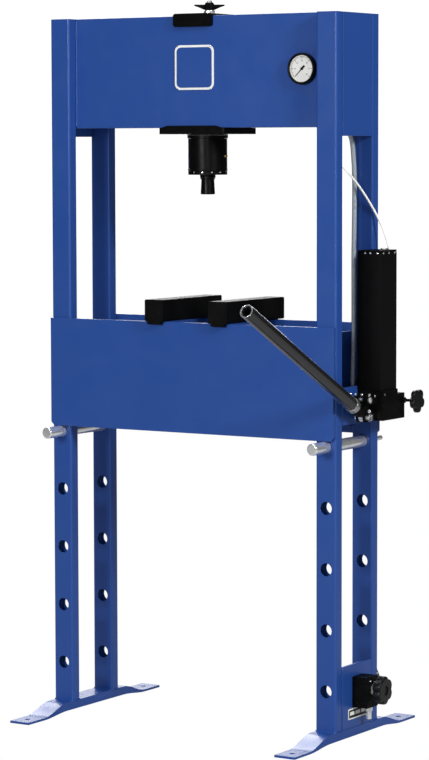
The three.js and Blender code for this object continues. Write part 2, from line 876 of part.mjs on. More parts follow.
function tank() {
  const bottom = pumpTop + fit;
  const x = [pumpLeft, pumpLeft + tankWidth];
  const y = [tankFront, tankFront + tankDepth];
  const outside = block(x, y, [bottom, tankTop]);
  const inside = block(
    [x[0] + tankWall, x[1] - tankWall],
    [y[0] + tankWall, y[1] - tankWall],
    [bottom + tankWall, tankTop + overlap],
  );
  piece('oil_tank', cut(outside, inside), black);

  const lidBottom = tankTop + fit;
  const lidTop = lidBottom + lidHeight;
  const plugX = pumpX + 10;
  const plugY = y[1] - 24;
  const plugRadius = 7;
  const plugHead = 3.5;
  const lid = block(x, y, [lidBottom, lidTop]);
  const fillHole = bar('z', plugRadius, [lidBottom - overlap, lidTop + overlap], plugX, plugY, 20);
  piece('tank_lid', cut(lid, fillHole), black);

  const plug = join(
    bar('z', plugRadius - fit, [lidBottom - 6, lidTop + overlap], plugX, plugY, 20),
    bar('z', plugRadius + 3, [lidTop + fit, lidTop + plugHead], plugX, plugY, 6),
  );
  piece('filler_plug', plug, steel);
}

// The plunger slides in the pump block; its pin works in slots in the lever's two cheeks.
function plunger() {
  const neckEnd = fulcrumY + 14;
  const across = [pumpX - eyeHalf, pumpX + eyeHalf];
  const rod = bar('y', plungerRadius, [neckEnd - overlap, 44], pumpX, plungerZ, 24);
  const neckZ = [plungerZ - plungerRadius, plungerZ + plungerRadius];
  const neck = block(across, [fulcrumY, neckEnd], neckZ);
  const eye = bar('x', 9.5, across, fulcrumY, plungerZ, 24);
  const wide = [pumpX - 2 * eyeHalf, pumpX + 2 * eyeHalf];
  const hole = bar('x', linkPinRadius + fit, wide, fulcrumY, plungerZ, 20);
  piece('pump_plunger', cut(join(rod, neck, eye), hole), zinc);
  const pin = bar('x', linkPinRadius, [pumpX - 19, pumpX + 19], fulcrumY, plungerZ, 20);
  piece('plunger_pin', pin, zinc);
}

function lever() {
  const slotRadius = linkPinRadius + 1.2;
  const slotHigh = [fulcrumY, fulcrumZ - leverArm + 0.4];
  const slotLow = [fulcrumY, fulcrumZ - leverArm - 3];
  const pivot = [fulcrumY, fulcrumZ];
  const bottom = [fulcrumY, fulcrumZ - leverArm - 1.5];
  const cheekRadius = 10.5;
  const cheeks = [-1, 1].map((side) => {
    const near = pumpX + side * (eyeHalf + fit);
    const far = pumpX + side * (eyeHalf + fit + cheekThickness);
    const x = [Math.min(near, far), Math.max(near, far)];
    return [
      link(x, pivot, bottom, cheekRadius),
      link(x, socketPoint(0), socketPoint(18), cheekRadius),
    ];
  }).flat();
  const spigotStart = 13;
  const spigotEnd = handleStart + 40;
  const inside = handleRadius - handleWall - fit;
  const spigot = alongHandle(bar('z', inside, [spigotStart, spigotEnd], 0, 0, 28));
  const solid = join(spigot, ...cheeks);
  const across = [pumpX - 2 * handleRadius, pumpX + 2 * handleRadius];
  const pivotHole = bar('x', linkPinRadius + fit, across, fulcrumY, fulcrumZ, 20);
  const slot = link(across, slotHigh, slotLow, slotRadius);
  piece('pump_lever', cut(solid, pivotHole, slot), castBlack);

  const end = handleStart + handleLength;
  const tube = turned([
    [handleRadius - handleWall, handleStart],
    [handleRadius, handleStart],
    [handleRadius, end - 1],
    [handleRadius - 1, end],
    [handleRadius - handleWall, end],
    [handleRadius - handleWall, handleStart],
  ], 0, 0, 32);
  piece('pump_handle', alongHandle(tube), black);
}

// Moves a solid built up the Z axis so that it lies along the handle's line.
function alongHandle(geometry) {
  const [y, z] = socketPoint(0);
  return geometry.rotateX(Math.PI / 2 - handleTilt).translate(pumpX, y, z);
}

function knobAlongX(outlineRadius, lobes, lobeDepth, x, depth, bevel) {
  const outline = lobedOutline(outlineRadius - bevel, lobes, lobeDepth);
  const settings = {
    depth: depth - 2 * bevel,
    bevelThickness: bevel,
    bevelSize: bevel,
    bevelSegments: 2,
  };
  const knob = new THREE.ExtrudeGeometry(outline, settings);
  return knob.rotateY(Math.PI / 2).translate(x + bevel, 0, 0);
}

function releaseValve() {
  const start = pumpRight + fit;
  const knob = knobAlongX(releaseKnobRadius, 5, 8, releaseKnobX, releaseKnobDepth, 3);
  const spindle = bar('x', 4, [start + 8, releaseKnobX + overlap], 0, 0, 20);
  const collar = bar('x', 7.5, [start, start + 9], 0, 0, 6);
  const hub = bar('x', 11, [releaseKnobX - 8, releaseKnobX + overlap], 0, 0, 24);
  const whole = join(knob, spindle, collar, hub);
  piece('release_knob', whole.translate(0, releaseY, releaseZ), moulded);
}

function outlet() {
  const half = outletRadius + 1;
  const stubTop = outletZ + outletStub;
  const corner = block(
    [outletX - half, outletX + half],
    [outletY - half, outletY + half],
    [outletZ - half, outletZ + half],
  );
  const through = bar('x', outletRadius, [outletX, pumpLeft - fit], outletY, outletZ, 20);
  const stub = bar('z', outletRadius - 0.5, [outletZ, stubTop], outletX, outletY, 20);
  piece('outlet_elbow', join(corner, through, stub), steel);
}

// ---------------------------------------------------------------- floor valve

function floorValve() {
  const bodyLeft = outerX + fit;
  const corner = 8;
  const outline = polygon([
    [valveFront, valveBottom],
    [valveBack - corner, valveBottom],
    [valveBack, valveBottom + corner],
    [valveBack, valveTop - corner],
    [valveBack - corner, valveTop],
    [valveFront, valveTop],
  ]);
  piece('floor_valve_body', acrossX(outline, [bodyLeft, valveX]), castBlack);

  const start = valveX + fit;
  const face = valveKnobX + valveKnobDepth;
  const knob = knobAlongX(valveKnobRadius, 6, 5, valveKnobX, valveKnobDepth, 4);
  const spindle = bar('x', 11, [start, valveKnobX + overlap], 0, 0, 24);
  const dimple = bar('x', 12, [face - 3, face + overlap], 0, 0, 28);
  const whole = cut(join(knob, spindle), dimple).translate(0, valveKnobY, valveKnobZ);
  piece('floor_valve_knob', whole, moulded);

  const fittingX = (bodyLeft + valveX) / 2;
  const fittingY = 20;
  const top = valveBottom - fit;
  const nutHeight = 14;
  const sleeve = [top - nutHeight - 20, top - nutHeight + overlap];
  const fitting = join(
    bar('z', 10, [top - nutHeight, top], fittingX, fittingY, 6),
    bar('z', 7.5, sleeve, fittingX, fittingY, 20),
  );
  piece('floor_valve_fitting', fitting, zinc);
}

// ---------------------------------------------------------------- hoses

function pressureHose() {
  const start = outletZ + outletStub + fit;
  const inletX = ramX + neckRadius + 24 + fit;
  const route = [
    [outletX, outletY, start],
    [outletX, outletY + 1, start + 50],
    [outletX, 63, start + 130],
    [outletX, 63, 1185],
    [outletX, 62, 1445],
    [outletX - 5, 50, 1510],
    [outletX - 34, 25, 1557],
    [outletX - 114, 12, inletZ - 12],
    [outletX - 224, -14, inletZ + 6],
    [inletX + 40, 0, inletZ],
    [inletX, 0, inletZ],
  ];
  piece('pressure_hose', hose(route, pressureHoseRadius, 48, 4), braid);
}

// The thin line from the pump to the gauge, which passes behind the tank and inside the beam.
function gaugeLine() {
  const stemEnd = -beamInnerY + 18 + fit;
  const route = [
    [pumpX + 6, 96, pumpRearTop + fit],
    [pumpX + 6, 95, 1080],
    [pumpX + 6, 92, 1180],
    [465, 86, 1228],
    [444, 76, 1294],
    [396, 52, 1383],
    [361, 36, 1429],
    [326, 20, 1477],
    [309, 0, 1545],
    [307, -14, 1615],
    [gaugeX, stemEnd + 14, gaugeZ - 1],
    [gaugeX, stemEnd + 4, gaugeZ],
    [gaugeX, stemEnd, gaugeZ],
  ];
  piece('gauge_line', hose(route, gaugeLineRadius, 56, 3), nylon);
}

// From the back of the pump down behind the right rear upright to the floor valve.
function returnHose() {
  const low = 104;
  const start = pumpBottom + 16;
  const route = [
    [pumpX, pumpBack + fit, start],
    [pumpX, pumpBack + 5, start],
    [pumpX - 8, pumpBack + 19, start],
    [424, 143, 813],
    [378, 138, 785],
    [368, 128, 735],
    [371, 126, 665],
    [uprightX, 125, 585],
    [uprightX, 125, 425],
    [uprightX, 125, 255],
    [403, 126, 165],
    [428, 117, 117],
    [444, 92, low + 1],
    [446, valveBack + 30, low],
    [446, valveBack + fit, low],
  ];
  piece('return_hose', hose(route, returnHoseRadius, 48, 4), rubber);
}

// ---------------------------------------------------------------- assembly

for (const [sideName, side] of [['left', -1], ['right', 1]]) {
  upright(`${sideName}_front_upright`, side, -1);
  upright(`${sideName}_rear_upright`, side, 1);
  foot(`${sideName}_foot`, side);
  bedPin(`${sideName}_bed_pin`, side);
}
beam();
lowerPlates();
namePlates();
gauge();
carriage();
ram();
clamp();
bed();
anvilBlock('left_anvil_block', blockLeftX);
anvilBlock('right_anvil_block', blockRightX);
pumpBody();
tank();
plunger();
lever();
releaseValve();
outlet();
floorValve();
pressureHose();
gaugeLine();
returnHose();

// The origin is on the floor, in the middle of the space that the press takes up, handle included.
const middle = new THREE.Box3().setFromObject(press, true).getCenter(new THREE.Vector3());
press.position.set(-middle.x, -middle.y, 0);
press.name = 'shop_press';
export default press;
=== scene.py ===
import json
import math
import random

import bmesh
import bpy
from mathutils import Matrix, Vector


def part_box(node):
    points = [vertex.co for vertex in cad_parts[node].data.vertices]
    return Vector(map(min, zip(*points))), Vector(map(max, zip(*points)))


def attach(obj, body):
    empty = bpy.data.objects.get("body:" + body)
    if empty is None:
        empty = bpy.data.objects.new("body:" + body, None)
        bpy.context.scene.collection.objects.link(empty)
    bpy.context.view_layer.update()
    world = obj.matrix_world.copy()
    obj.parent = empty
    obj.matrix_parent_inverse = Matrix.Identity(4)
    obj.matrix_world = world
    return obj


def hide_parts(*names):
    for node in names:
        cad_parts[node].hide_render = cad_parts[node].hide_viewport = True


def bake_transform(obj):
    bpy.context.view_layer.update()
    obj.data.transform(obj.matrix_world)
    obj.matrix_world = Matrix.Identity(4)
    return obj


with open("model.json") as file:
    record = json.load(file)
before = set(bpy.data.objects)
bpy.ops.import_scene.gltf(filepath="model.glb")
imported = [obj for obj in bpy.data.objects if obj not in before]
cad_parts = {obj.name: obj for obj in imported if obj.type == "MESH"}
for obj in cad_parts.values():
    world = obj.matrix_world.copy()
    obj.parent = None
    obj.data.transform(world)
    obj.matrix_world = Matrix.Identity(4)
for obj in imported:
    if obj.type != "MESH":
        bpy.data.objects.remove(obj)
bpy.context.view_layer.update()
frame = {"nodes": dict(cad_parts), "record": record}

nodes = frame["nodes"]
random.seed(7)

# Profiles, radii and widths are in millimetres. Positions are in metres, from the nodes' boxes.
MM = 0.001
DIAL_START = 135  # degrees anticlockwise from the top, where the dial's scale starts
DIAL_SWEEP = 270  # degrees from the scale's start to its end, clockwise
SCALE_LIFT = 0.08  # how far the printed scale stands off the dial
HANDLE_TILT = math.radians(27.4)  # the handle's rise towards the front

CAMERA_AT = (3.882456, -6.072169, 1.487722)
CAMERA_AHEAD = (-0.53329, 0.84194, -0.08204)
CAMERA_ROLL = math.radians(-0.128)
CAMERA_LENS = 136.675


# ---------------------------------------------------------------- materials


def new_material(name):
    """A material with its node list and its links."""
    mat = bpy.data.materials.new(name)
    mat.use_nodes = True
    return mat, mat.node_tree.nodes, mat.node_tree.links


def noise(tree, coordinate, scale, detail=3.0, stretch=None):
    """A noise texture on object coordinates, optionally stretched along an axis."""
    texture = tree.nodes.new("ShaderNodeTexNoise")
    texture.inputs["Scale"].default_value = scale
    texture.inputs["Detail"].default_value = detail
    if stretch:
        mapping = tree.nodes.new("ShaderNodeMapping")
        mapping.inputs["Scale"].default_value = stretch
        tree.links.new(coordinate, mapping.inputs["Vector"])
        coordinate = mapping.outputs["Vector"]
    tree.links.new(coordinate, texture.inputs["Vector"])
    return texture.outputs["Fac"]


def ramp(tree, value, low, high, out_low, out_high):
    """Maps a value from the range low..high to out_low..out_high, clamped."""
    remap = tree.nodes.new("ShaderNodeMapRange")
    remap.inputs["From Min"].default_value = low
    remap.inputs["From Max"].default_value = high
    remap.inputs["To Min"].default_value = out_low
    remap.inputs["To Max"].default_value = out_high
    tree.links.new(value, remap.inputs["Value"])
    return remap.outputs["Result"]


def mix_colour(tree, factor, a, b):
    """Blends from a to b. Each is a colour or a socket that gives one."""
    mix = tree.nodes.new("ShaderNodeMix")
    mix.data_type = "RGBA"
    for socket, colour in ((mix.inputs[6], a), (mix.inputs[7], b)):
        if isinstance(colour, tuple):
            socket.default_value = (*colour, 1)
        else:
            tree.links.new(colour, socket)
    tree.links.new(factor, mix.inputs[0])
    return mix.outputs[2]


def paint_rim_shade(mat, start, full, colour):
    """Paints shade onto the parts of a round surface that turn away from the eye, blending its base
    colour towards a dark colour there.
    """
    tree = mat.node_tree
    shader = tree.nodes["Principled BSDF"]
    base = shader.inputs["Base Color"].links[0].from_socket
    facing = tree.nodes.new("ShaderNodeLayerWeight")
    painted_shade_mask = ramp(tree, facing.outputs["Facing"], start, full, 0, 1)
    tree.links.new(mix_colour(tree, painted_shade_mask, base, colour), shader.inputs["Base Color"])
    return mat


def surface(
    name, colour, tint, rough, metal=0.0, specular=0.5, coat=0.0, grain=(600, 0.02, 0.0004),
    patch=6.0, rough_spread=0.06, stretch=None, painted_reflection=None, ior=1.5, coat_rough=0.08, sheen=0.0,
):
    """A surface with large soft colour patches, fine grain in the bump and an uneven sheen."""
    mat, _, links = new_material(name)
    tree = mat.node_tree
    shader = tree.nodes["Principled BSDF"]
    where = tree.nodes.new("ShaderNodeTexCoord").outputs["Object"]
    patches = ramp(tree, noise(tree, where, patch), 0.35, 0.65, 0, 1)
    base = mix_colour(tree, patches, colour, tint)
    # An optional painted reflection, laid over the base colour.
    if painted_reflection:
        base = painted_reflection(tree, base)
    links.new(base, shader.inputs["Base Color"])
    fine = noise(tree, where, grain[0], 2.0, stretch)
    mottling = noise(tree, where, patch * 7, 4.0)
    mottled = ramp(tree, mottling, 0.3, 0.7, rough - rough_spread, rough + rough_spread)
    links.new(mottled, shader.inputs["Roughness"])
    shader.inputs["Metallic"].default_value = metal
    shader.inputs["Specular IOR Level"].default_value = specular
    shader.inputs["Coat Weight"].default_value = coat
    shader.inputs["Coat Roughness"].default_value = coat_rough
    shader.inputs["IOR"].default_value = ior
    shader.inputs["Sheen Weight"].default_value = sheen
    shader.inputs["Sheen Roughness"].default_value = 0.15
    bump = tree.nodes.new("ShaderNodeBump")
    bump.inputs["Strength"].default_value = grain[1]
    bump.inputs["Distance"].default_value = grain[2]
    links.new(fine, bump.inputs["Height"])
    links.new(bump.outputs["Normal"], shader.inputs["Normal"])
    return mat


def tank_painted_reflection(tree, base):
    """A painted reflection: a soft lighter band down the tank's front beside its corner."""
    place = tree.nodes.new("ShaderNodeSeparateXYZ")
    tree.links.new(tree.nodes.new("ShaderNodeTexCoord").outputs["Object"], place.inputs[0])
    low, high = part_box("oil_tank")
    start = low.x + 0.4 * (high.x - low.x)
    corner = high.x - 6 * MM
    band = ramp(tree, place.outputs["X"], start, corner, 0, 1)
    # The painted reflection's lighter colour, blended in towards the corner.
    return mix_colour(tree, band, base, (0.0046, 0.0046, 0.0047))


def clear_lens():
    """Clear plastic: see-through, with a faint uneven gloss that grows towards its edge."""
    mat, tree_nodes, links = new_material("clear")
    out = tree_nodes["Material Output"]
    tree_nodes.remove(tree_nodes["Principled BSDF"])
    through = tree_nodes.new("ShaderNodeBsdfTransparent")
    gloss = tree_nodes.new("ShaderNodeBsdfGlossy")
    gloss.inputs["Roughness"].default_value = 0.03
    facing = tree_nodes.new("ShaderNodeLayerWeight")
    facing.inputs["Blend"].default_value = 0.12
    smudge = tree_nodes.new("ShaderNodeTexNoise")
    smudge.inputs["Scale"].default_value = 40
    scaled = tree_nodes.new("ShaderNodeMath")
    scaled.operation = "MULTIPLY"
    links.new(smudge.outputs["Fac"], scaled.inputs[0])
    links.new(facing.outputs["Fresnel"], scaled.inputs[1])
    mix = tree_nodes.new("ShaderNodeMixShader")
    links.new(scaled.outputs[0], mix.inputs[0])
    links.new(through.outputs[0], mix.inputs[1])
    links.new(gloss.outputs[0], mix.inputs[2])
    links.new(mix.outputs[0], out.inputs["Surface"])
    return mat


def crossed_strands(tree, where, scale):
    """Two sets of fine stripes that lean opposite ways, multiplied together."""
    strands = []
    for lean in (1, -1):
        wave = tree.nodes.new("ShaderNodeTexWave")
        wave.wave_type = "BANDS"
        wave.bands_direction = "DIAGONAL"
        wave.inputs["Scale"].default_value = scale
        wave.inputs["Distortion"].default_value = 0.6
        mapping = tree.nodes.new("ShaderNodeMapping")
        mapping.inputs["Scale"].default_value = (lean, lean, 1)
        tree.links.new(where, mapping.inputs["Vector"])
        tree.links.new(mapping.outputs["Vector"], wave.inputs["Vector"])
        strands.append(wave.outputs["Fac"])
    weave = tree.nodes.new("ShaderNodeMath")
    weave.operation = "MULTIPLY"
    tree.links.new(strands[0], weave.inputs[0])
    tree.links.new(strands[1], weave.inputs[1])
    return weave.outputs[0]


def braid():
    """A hose cover woven from fine pale grey strands, darker between the strands."""
    mat = surface(
        "hose_cover", (0.44, 0.50, 0.56), (0.62, 0.68, 0.73), 0.42, metal=0.15, specular=0.5,
        grain=(1600, 0.25, 0.0004), patch=300, rough_spread=0.1,
    )
    tree = mat.node_tree
    shader = tree.nodes["Principled BSDF"]
    where = tree.nodes.new("ShaderNodeTexCoord").outputs["Object"]
    weave = crossed_strands(tree, where, 150)
    base = shader.inputs["Base Color"].links[0].from_socket
    gaps = ramp(tree, weave, 0.0, 0.5, 1, 0)
    tree.links.new(mix_colour(tree, gaps, base, (0.12, 0.14, 0.17)), shader.inputs["Base Color"])
    bump = tree.nodes.new("ShaderNodeBump")
    bump.inputs["Strength"].default_value = 0.5
    bump.inputs["Distance"].default_value = 0.0005
    tree.links.new(weave, bump.inputs["Height"])
    tree.links.new(bump.outputs["Normal"], shader.inputs["Normal"])
    # Painted shade: the hose darkens to near black along its rims, where it turns away from the eye.
    return paint_rim_shade(mat, 0.40, 0.72, (0.012, 0.013, 0.015))


BLUE = (0.0148, 0.0585, 0.2560)
looks = {
    "frame_paint": surface(
        "frame_paint", BLUE, (0.0158, 0.0612, 0.2660), 0.36, specular=0.28, coat=0.12,
        grain=(900, 0.06, 0.0003), patch=2.2,
    ),
    "black_paint": surface(
        "black_paint", (0.0014, 0.0014, 0.0015), (0.0022, 0.0022, 0.0023), 0.34, specular=0.5, ior=1.2,
        grain=(1100, 0.08, 0.0003), patch=9,
    ),
    # The tank's paint carries a painted reflection down its front.
    "tank_paint": surface(
        "tank_paint", (0.0010, 0.0010, 0.0011), (0.0015, 0.0015, 0.0016), 0.40, specular=0.5, ior=1.12,
        grain=(1100, 0.08, 0.0003), patch=9, painted_reflection=tank_painted_reflection,
    ),
    "handle_paint": surface(
        "handle_paint", (0.0018, 0.0018, 0.0019), (0.0026, 0.0026, 0.0027), 0.22, specular=0.2,
        coat=1.0, coat_rough=0.03, grain=(700, 0.05, 0.0002), patch=14, rough_spread=0.04, sheen=0.7,
    ),
    "cast_black": surface(
        "cast_black", (0.0014, 0.0014, 0.0014), (0.0030, 0.0030, 0.0029), 0.50, specular=0.5, ior=1.16,
        grain=(420, 0.28, 0.0006), patch=16, rough_spread=0.12,
    ),
    "moulded_black": surface(
        "moulded_black", (0.0016, 0.0016, 0.0017), (0.0026, 0.0026, 0.0027), 0.34, specular=0.3,
        grain=(1500, 0.14, 0.0003), patch=30,
    ),
    "zinc_plate": surface(
        "zinc_plate", (0.95, 0.96, 0.97), (0.84, 0.86, 0.88), 0.17, metal=0.80,
        grain=(500, 0.06, 0.0003), patch=40,
    ),
    "bare_steel": surface(
        "bare_steel", (0.50, 0.50, 0.50), (0.38, 0.38, 0.39), 0.30, metal=1.0,
        grain=(260, 0.15, 0.0003), patch=25, stretch=(1, 1, 9),
    ),
    "brass": surface(
        "brass", (0.56, 0.40, 0.16), (0.44, 0.30, 0.11), 0.28, metal=1.0,
        grain=(300, 0.1, 0.0003), patch=30,
    ),
    "rubber": surface(
        "rubber", (0.0040, 0.0042, 0.0046), (0.0065, 0.0066, 0.0070), 0.30, specular=0.6,
        coat=0.4, grain=(800, 0.12, 0.0003), patch=30,
    ),
    "hose_cover": braid(),
    # Painted shade: the nylon line darkens to near black along its rims, where it turns away from the
    # eye.
    "nylon": paint_rim_shade(surface(
        "nylon", (0.86, 0.85, 0.80), (0.80, 0.79, 0.74), 0.30, specular=0.5,
        grain=(900, 0.05, 0.0002), patch=30,
    ), 0.35, 0.75, (0.01, 0.01, 0.01)),
    "enamel": surface(
        "enamel", (0.80, 0.80, 0.78), (0.74, 0.74, 0.72), 0.35, specular=0.4,
        grain=(1200, 0.04, 0.0002), patch=40,
    ),
    "clear": clear_lens(),
}
ink = surface("ink", (0.010, 0.011, 0.013), (0.016, 0.017, 0.020), 0.5, specular=0.2, patch=60)

slot_of = {row["node"]: row["material_slot"] for row in frame["record"]["subparts"]}
own_look = {"oil_tank": "tank_paint", "tank_lid": "tank_paint", "pump_handle": "handle_paint"}
# Edge widths in mm, by material and for the nodes whose edges differ from that.
bevel_of = {
    "frame_paint": 1.2, "black_paint": 0.8, "cast_black": 1.6, "moulded_black": 0.6,
    "zinc_plate": 0.5, "bare_steel": 0.5, "brass": 0.4, "enamel": 0.25,
}
own_bevel = {
    "left_foot": 2.2, "right_foot": 2.2, "clamp_bridge": 1.6, "oil_tank": 1.8,
    "left_anvil_block": 1.4, "right_anvil_block": 1.4, "gauge_needle": 0.0, "gauge_dial": 0.0,
}


def finish_edges(obj, width):
    """Rounds an object's sharp edges by a width in mm and evens out its shading."""
    for polygon in obj.data.polygons:
        polygon.use_smooth = True
    weld = obj.modifiers.new("weld", "WELD")
    weld.merge_threshold = 0.01 * MM
    if width > 0:
        bevel = obj.modifiers.new("bevel", "BEVEL")
        bevel.width = width * MM
        bevel.segments = 3
        bevel.limit_method = "ANGLE"
        bevel.angle_limit = math.radians(32)
        bevel.harden_normals = False
    normals = obj.modifiers.new("normals", "WEIGHTED_NORMAL")
    normals.weight = 60
    normals.keep_sharp = False


for name, obj in nodes.items():
    slot = slot_of[name]
    obj.data.materials.clear()
    obj.data.materials.append(looks[own_look.get(name, slot)])
    finish_edges(obj, own_bevel.get(name, bevel_of.get(slot, 0.0)))


# ---------------------------------------------------------------- building pieces


def add_piece(name, mesh, body, slot, material=None, smooth=True):
    """Puts a mesh in the scene as a piece that moves with a body."""
    obj = bpy.data.objects.new(name, mesh)
    bpy.context.scene.collection.objects.link(obj)
    mesh.materials.append(material or looks[slot])
    for polygon in mesh.polygons:
        polygon.use_smooth = smooth
    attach(obj, body)
    return obj


def basis(axis):
    """Rotation that turns +Z to axis."""
    return Vector((0, 0, 1)).rotation_difference(Vector(axis)).to_matrix().to_4x4()


def lathe_into(bm, profile, at, axis, sides):
    """Adds a revolved solid. The profile is (radius, height) in mm from a point along an axis."""
    place = Matrix.Translation(Vector(at)) @ basis(axis)
    rings = []
    for radius, height in profile:
        ring = []
        count = 1 if radius < 1e-6 else sides
        for i in range(count):
            a = 2 * math.pi * i / sides
            point = Vector((radius * MM * math.cos(a), radius * MM * math.sin(a), height * MM))
            ring.append(bm.verts.new(place @ point))
        rings.append(ring)
    for low, high in zip(rings, rings[1:]):
        for i in range(sides):
            j = (i + 1) % sides
            corners = [low[i % len(low)], low[j % len(low)], high[j % len(high)], high[i % len(high)]]
            unique = []
            for corner in corners:
                if corner not in unique:
                    unique.append(corner)
            if len(unique) > 2:
                bm.faces.new(unique)


def to_mesh(bm, name):
    mesh = bpy.data.meshes.new(name)
    bm.normal_update()
    bm.to_mesh(mesh)
    bm.free()
    return mesh


def turned(name, profile, at, axis, body, slot, sides=32):
    """One revolved piece with softened edges."""
    bm = bmesh.new()
    lathe_into(bm, profile, at, axis, sides)
    obj = add_piece(name, to_mesh(bm, name), body, slot)
    finish_edges(obj, 0.25)
    return obj


def ring_profile(inner, outer, low, high):
    """A closed rectangular section, which turns into a plain ring."""
    return [(inner, low), (outer, low), (outer, high), (inner, high), (inner, low)]


def screws(name, places, axis, body, slot, radius=2.4, height=1.6, socket=True):
    """Round screw heads in one piece, each with a socket or, without one, a domed top."""
    bm = bmesh.new()
    deep = height * 0.35
    for at in places:
        profile = [(0, 0), (radius, 0), (radius, height * 0.55), (radius * 0.82, height * 0.92)]
        if socket:
            profile += [(radius * 0.48, height), (radius * 0.46, deep), (0, deep)]
        else:
            profile += [(radius * 0.4, height), (0, height * 1.03)]
        lathe_into(bm, profile, at, axis, 18)
    obj = add_piece(name, to_mesh(bm, name), body, slot)
    finish_edges(obj, 0.15)
    return obj


def bead_rings(bm, points, radius, sides):
    """Circles of corners along a path, alternately wide and narrow, and small at both ends."""
    ripple, pitch = 0.18, 3.2
    askew = Vector((0.31, 0.52, 0.79))
    length = sum((b - a).length for a, b in zip(points, points[1:]))
    steps = max(2, int(length / (pitch * MM) * 2))
    rings = []
    for k in range(steps + 1):
        here, along = point_on(points, length * k / steps)
        side = along.cross(askew).normalized()
        other = along.cross(side).normalized()
        swell = 1 + (ripple if k % 2 else -ripple) + random.uniform(-0.08, 0.08)
        if k in (0, steps):
            swell = 0.35
        ring = []
        for i in range(sides):
            a = 2 * math.pi * i / sides
            out = side * math.cos(a) + other * math.sin(a)
            ring.append(bm.verts.new(here + out * radius * MM * swell))
        rings.append(ring)
    return rings


def bead(name, paths, radius, body, slot="frame_paint"):
    """Weld beads: closed tubes whose radius swells with each ripple of the weld."""
    bm = bmesh.new()
    sides = 8
    for path in paths:
        rings = bead_rings(bm, [Vector(point) for point in path], radius, sides)
        for low, high in zip(rings, rings[1:]):
            for i in range(sides):
                j = (i + 1) % sides
                bm.faces.new((low[i], high[i], high[j], low[j]))
        bm.faces.new(rings[0])
        bm.faces.new(list(reversed(rings[-1])))
    bmesh.ops.recalc_face_normals(bm, faces=bm.faces)
    return add_piece(name, to_mesh(bm, name), body, slot)


def point_on(points, distance):
    """The point at a distance along a path, and the path's direction there."""
    for a, b in zip(points, points[1:]):
        step = (b - a).length
        if distance <= step + 1e-9:
            return a.lerp(b, distance / step), (b - a).normalized()
        distance -= step
    return points[-1], (points[-1] - points[-2]).normalized()


def rounded_outline(width, height, corner, steps=6):
    """The corners of a rounded rectangle, in order, about its middle."""
    outline = []
    for cx, cy, start in ((1, -1, -90), (1, 1, 0), (-1, 1, 90), (-1, -1, 180)):
        for i in range(steps + 1):
            a = math.radians(start + 90 * i / steps)
            x = cx * (width / 2 - corner) + corner * math.cos(a)
            y = cy * (height / 2 - corner) + corner * math.sin(a)
            outline.append((x, y))
    return outline


def panel(name, centre, across, up, size, corner, thick, body, slot, material=None):
    """A thin rounded rectangle with softened edges, standing off the face it lies on."""
    across, up = Vector(across), Vector(up)
    out = across.cross(up)
    width, height = size
    outline = rounded_outline(width, height, corner)
    bm = bmesh.new()
    layers = []
    edge = min(0.35 * thick, 0.3)
    for inset, rise in ((0, 0), (0, thick - edge), (edge, thick)):
        layer = []
        for x, y in outline:
            scale_x, scale_y = (width - 2 * inset) / width, (height - 2 * inset) / height
            offset = across * x * scale_x + up * y * scale_y + out * rise
            layer.append(bm.verts.new(Vector(centre) + offset * MM))
        layers.append(layer)
    count = len(outline)
    for low, high in zip(layers, layers[1:]):
        for i in range(count):
            j = (i + 1) % count
            bm.faces.new((low[i], low[j], high[j], high[i]))
    bm.faces.new(layers[-1])
    bm.faces.new(list(reversed(layers[0])))
    return add_piece(name, to_mesh(bm, name), body, slot, material, smooth=False)


# ---------------------------------------------------------------- frame details


def upright(x, y, low, high, short):
    """A straight vertical path that stops short of both ends of a plate."""
    return [(x, y, low.z + short), (x, y, high.z - short)]


def upright_feet():
    """Closed loops round the bottom of each upright, where it is welded to its foot."""
    inset = 3 * MM
    loops = []
    for place in ("left_front", "right_front", "left_rear", "right_rear"):
        low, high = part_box(f"{place}_upright")
        a, b, c, d, z = low.x, low.y, high.x, high.y, low.z
        loops.append(
            [
                (a + inset, b, z), (c - inset, b, z), (c, b + inset, z), (c, d - inset, z),
                (c - inset, d, z), (a + inset, d, z), (a, d - inset, z), (a, b + inset, z),
                (a + inset, b, z),
            ]
        )
    return loops


def side_plate_seams():
    """The upright edges of the side plates, where they meet the front and rear uprights."""
    front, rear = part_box("right_front_upright"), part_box("right_rear_upright")
    seams = []
    for plate in ("beam_left_side_plate", "beam_right_side_plate", "lower_side_plate", "pump_bracket"):
        low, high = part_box(plate)
        x = low.x + 1.2 * MM if plate.startswith("beam_left") else high.x - 1.2 * MM
        for y in (front[1].y + 1 * MM, rear[0].y - 1 * MM):
            seams.append(upright(x, y, low, high, 4 * MM))
    return seams


def beam_seams():
    """The ends of the beam's plates, where they meet the uprights."""
    left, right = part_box("left_front_upright")[1].x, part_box("right_front_upright")[0].x
    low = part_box("beam_front_plate")[0]
    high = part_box("beam_rear_plate")[1]
    seams = []
    for x in (left + 1 * MM, right - 1 * MM):
        for y in (low.y - 0.5 * MM, high.y + 0.5 * MM):
            seams.append(upright(x, y, low, high, 4 * MM))
    return seams


def bed_seams():
    """The corners between the bed's plates and its cross spacers."""
    inner_front, inner_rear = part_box("bed_front_plate")[1].y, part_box("bed_rear_plate")[0].y
    seams = []
    for spacer in ("bed_left_spacer", "bed_right_spacer"):
        low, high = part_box(spacer)
        for y in (inner_front + 1 * MM, inner_rear - 1 * MM):
            for x in (low.x, high.x):
                seams.append(upright(x, y, low, high, 10 * MM))
    return seams


def weld_frame():
    bead("foot_weld", upright_feet(), 2.2, "frame")
    bead("side_plate_weld", side_plate_seams(), 2.1, "frame")
    bead("beam_weld", beam_seams(), 2.3, "frame")
    bead("bed_weld", bed_seams(), 2.4, "bed")


